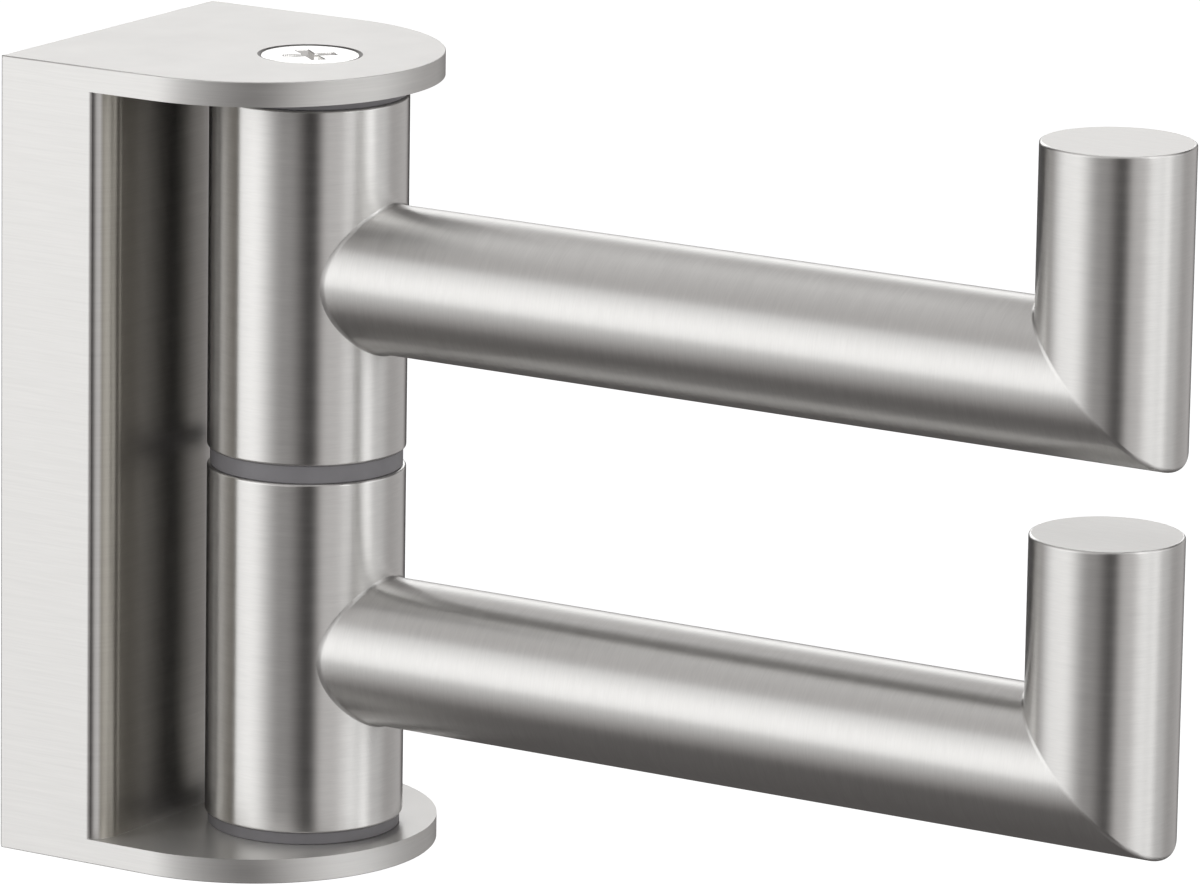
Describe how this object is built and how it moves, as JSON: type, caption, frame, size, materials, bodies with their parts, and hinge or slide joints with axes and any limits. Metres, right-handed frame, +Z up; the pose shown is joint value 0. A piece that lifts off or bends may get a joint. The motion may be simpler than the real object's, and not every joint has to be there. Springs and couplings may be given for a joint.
{
  "type": "folding wall hook",
  "caption": "Folding wall hook: round-bar arms with upturned tips swing independently about an upright pivot pin in a C-shaped bracket with round-ended plates.",
  "frame": {"origin": "centre of the bracket's back, on the wall, at half the bracket's height", "axes": "+Z up along the pivot's direction, +Y into the wall, +X along the wall; the arms stand out towards -Y"},
  "size_m": [0.03, 0.0985, 0.0665],
  "materials": {
    "bracket_steel": "fine brushed stainless steel, line grain",
    "barrel_steel": "stainless steel brushed round the turned surface",
    "rod_steel": "stainless steel bar brushed round its axis",
    "plate_steel": "plain mill-finish stainless steel",
    "pin_steel": "smooth turned stainless steel",
    "screw_steel": "bright polished stainless steel",
    "washer_nylon": "smooth grey nylon",
    "bush_nylon": "smooth grey nylon"
  },
  "bodies": {
    "bracket": {"bracket": "bracket_steel", "wall_plate": "plate_steel", "clamp_screw": "screw_steel", "pivot_pin": "pin_steel", "top_screw": "screw_steel", "bottom_screw": "screw_steel", "bottom_washer": "washer_nylon", "middle_washer": "washer_nylon", "top_washer": "washer_nylon"},
    "lower_hook": {"lower_barrel": "barrel_steel", "lower_barrel_base_bush": "bush_nylon", "lower_barrel_top_bush": "bush_nylon", "lower_arm": "rod_steel", "lower_tip": "rod_steel"},
    "upper_hook": {"upper_barrel": "barrel_steel", "upper_barrel_base_bush": "bush_nylon", "upper_barrel_top_bush": "bush_nylon", "upper_arm": "rod_steel", "upper_tip": "rod_steel"}
  },
  "joints": [
    {"name": "lower_swing", "type": "hinge", "parent": "bracket", "child": "lower_hook", "pos_m": [0, -0.0195, -0.015], "axis": [0, 0, 1], "range_deg": [-100, 100]},
    {"name": "upper_swing", "type": "hinge", "parent": "bracket", "child": "upper_hook", "pos_m": [0, -0.0195, 0.015], "axis": [0, 0, 1], "range_deg": [-100, 100]}
  ]
}
